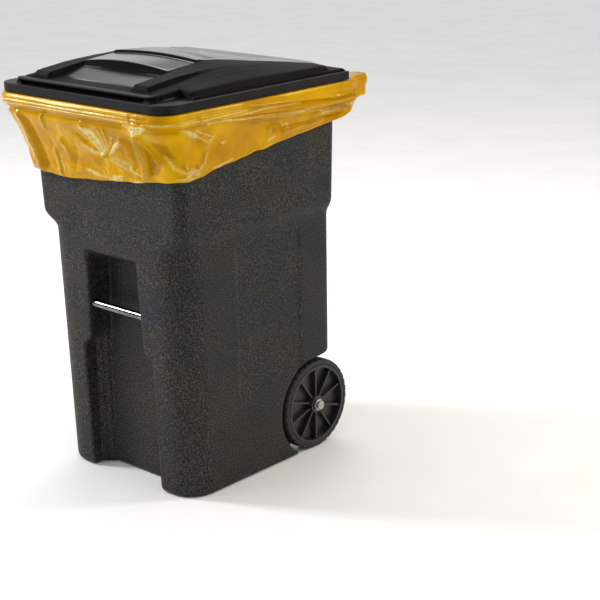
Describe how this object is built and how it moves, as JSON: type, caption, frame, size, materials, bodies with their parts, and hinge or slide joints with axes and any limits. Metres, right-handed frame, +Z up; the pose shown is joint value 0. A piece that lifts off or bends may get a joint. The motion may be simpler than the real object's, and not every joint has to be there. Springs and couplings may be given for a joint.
{
  "type": "wheeled waste bin",
  "caption": "Tall two-wheeled waste bin with a hinged crowned lid, front catch bar, rear handle and a yellow film liner folded over its rim.",
  "frame": {"origin": "on the floor, at the middle of the bounding box of the closed bin with its liner", "axes": "+X to the bin's right seen from the front, +Y to the back where the wheels and handle are, +Z up"},
  "size_m": [0.621, 0.7596, 1.114],
  "materials": {
    "body": "matte moulded plastic with fine pale flecks",
    "lid": "satin black moulded plastic",
    "handle": "satin black tube",
    "trim": "fine matte",
    "bearing": "smooth nylon",
    "bright_steel": "bright zinc plate",
    "axle_steel": "zinc plate",
    "wheel": "moulded plastic",
    "tyre": "solid rubber",
    "liner": "glossy amber polythene film"
  },
  "bodies": {
    "container": {"container_body": "body", "handle_tube": "handle", "handle_cap_left": "trim", "handle_cap_right": "trim", "bar_bush_left": "bearing", "bar_bush_right": "bearing", "liner": "liner"},
    "lid": {"lid": "lid", "hinge_sleeve_left": "bearing", "hinge_sleeve_right": "bearing"},
    "catch_bar": {"catch_bar": "bright_steel"},
    "axle": {"axle": "axle_steel", "spacer_left": "bearing", "washer_left": "axle_steel", "axle_cap_left": "axle_steel", "spacer_right": "bearing", "washer_right": "axle_steel", "axle_cap_right": "axle_steel"},
    "wheel_left": {"wheel_left": "wheel", "tyre_left": "tyre", "hub_bush_left": "bearing"},
    "wheel_right": {"wheel_right": "wheel", "tyre_right": "tyre", "hub_bush_right": "bearing"}
  },
  "joints": [
    {"name": "lid_hinge", "type": "hinge", "parent": "container", "child": "lid", "pos_m": [0, 0.35175, 1], "axis": [-1, 0, 0], "range_deg": [0, 255]},
    {"name": "catch_bar_spin", "type": "hinge", "parent": "container", "child": "catch_bar", "pos_m": [0, -0.27325, 0.47], "axis": [1, 0, 0], "continuous": true},
    {"name": "axle_spin", "type": "hinge", "parent": "container", "child": "axle", "pos_m": [0, 0.20975, 0.127], "axis": [1, 0, 0], "continuous": true},
    {"name": "wheel_left_spin", "type": "hinge", "parent": "axle", "child": "wheel_left", "pos_m": [-0.226, 0.20975, 0.127], "axis": [1, 0, 0], "continuous": true},
    {"name": "wheel_right_spin", "type": "hinge", "parent": "axle", "child": "wheel_right", "pos_m": [0.226, 0.20975, 0.127], "axis": [1, 0, 0], "continuous": true}
  ]
}
